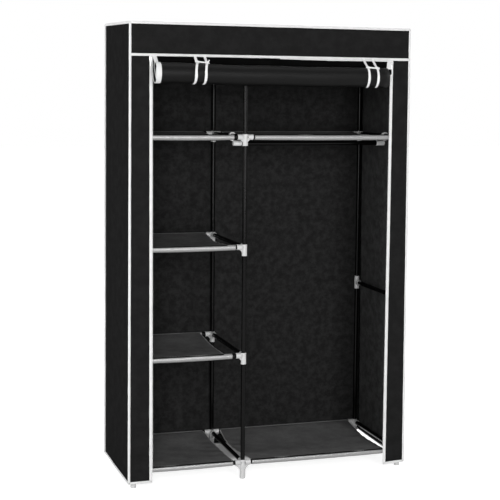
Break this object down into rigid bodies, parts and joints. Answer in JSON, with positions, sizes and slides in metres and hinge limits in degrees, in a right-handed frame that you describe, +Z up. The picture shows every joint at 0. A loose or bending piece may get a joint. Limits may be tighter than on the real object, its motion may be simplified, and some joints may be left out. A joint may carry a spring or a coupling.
{
  "type": "portable fabric wardrobe",
  "caption": "Free-standing tube-frame wardrobe with a zipped fabric cover, fabric shelves on one side, a hanging rail on the other, and a roll-up front door.",
  "frame": {"origin": "on the floor, under the middle of the whole outer box, which runs from the front of the rolled door's ribbons to the back of the cover", "axes": "+Z up, +X to the right as seen from the front, +Y from the front opening to the back panel"},
  "size_m": [1.05, 0.5174, 1.64],
  "materials": {
    "tube": "satin",
    "roof_frame": "satin",
    "connector": "satin",
    "shelf_cloth": "matte",
    "cover_cloth": "matte",
    "ribbon": "matte",
    "zip": "satin"
  },
  "bodies": {
    "root": {"post_front_left": "tube", "post_front_middle": "tube", "post_front_right": "tube", "post_rear_left": "tube", "post_rear_middle": "tube", "post_rear_right": "tube", "depth_tube_base_left": "tube", "depth_tube_base_middle": "tube", "depth_tube_base_right": "tube", "depth_tube_lower_left": "tube", "depth_tube_lower_middle": "tube", "depth_tube_upper_left": "tube", "depth_tube_upper_middle": "tube", "depth_tube_top_left": "tube", "depth_tube_top_middle": "tube", "depth_tube_top_right": "tube", "depth_tube_side": "tube", "roof_frame": "roof_frame", "connector_base_front_left": "connector", "connector_base_front_middle": "connector", "connector_base_front_right": "connector", "connector_base_rear_left": "connector", "connector_base_rear_middle": "connector", "connector_base_rear_right": "connector", "connector_lower_front_left": "connector", "connector_lower_front_middle": "connector", "connector_lower_rear_left": "connector", "connector_lower_rear_middle": "connector", "connector_upper_front_left": "connector", "connector_upper_front_middle": "connector", "connector_upper_rear_left": "connector", "connector_upper_rear_middle": "connector", "connector_top_front_left": "connector", "connector_top_front_middle": "connector", "connector_top_front_right": "connector", "connector_top_rear_left": "connector", "connector_top_rear_middle": "connector", "connector_top_rear_right": "connector", "connector_side_front": "connector", "connector_side_rear": "connector", "shelf_base_left": "shelf_cloth", "shelf_base_right": "shelf_cloth", "shelf_lower_left": "shelf_cloth", "shelf_upper_left": "shelf_cloth", "shelf_top_left": "shelf_cloth", "shelf_top_right": "shelf_cloth", "cover_back": "cover_cloth", "cover_side_left": "cover_cloth", "cover_side_right": "cover_cloth", "cover_roof": "cover_cloth", "tie_left": "ribbon", "tie_right": "ribbon"},
    "door": {"door_roll": "cover_cloth"},
    "rail": {"hanging_rail": "tube", "rail_holder_middle": "connector", "rail_holder_right": "connector"},
    "slider_left": {"zip_slider_left": "zip"},
    "slider_right": {"zip_slider_right": "zip"},
    "pull_left": {"zip_pull_left": "zip"},
    "pull_right": {"zip_pull_right": "zip"}
  },
  "joints": [
    {"name": "door_unroll", "type": "slide", "parent": "root", "child": "door", "axis": [0, 0, -1], "range_m": [0, 1.4], "deforming": ["tie_left", "tie_right"]},
    {"name": "rail_slide", "type": "slide", "parent": "root", "child": "rail", "axis": [0, -1, 0], "range_m": [-0.215, 0.13]},
    {"name": "zip_left", "type": "slide", "parent": "root", "child": "slider_left", "axis": [0, 0, -1], "range_m": [0, 1.47]},
    {"name": "zip_right", "type": "slide", "parent": "root", "child": "slider_right", "axis": [0, 0, -1], "range_m": [0, 1.47]},
    {"name": "pull_swing_left", "type": "hinge", "parent": "slider_left", "child": "pull_left", "pos_m": [-0.451, -0.1968, 1.516], "axis": [-1, 0, 0], "range_deg": [0, 150]},
    {"name": "pull_swing_right", "type": "hinge", "parent": "slider_right", "child": "pull_right", "pos_m": [0.453, -0.1968, 1.516], "axis": [-1, 0, 0], "range_deg": [0, 150]}
  ]
}
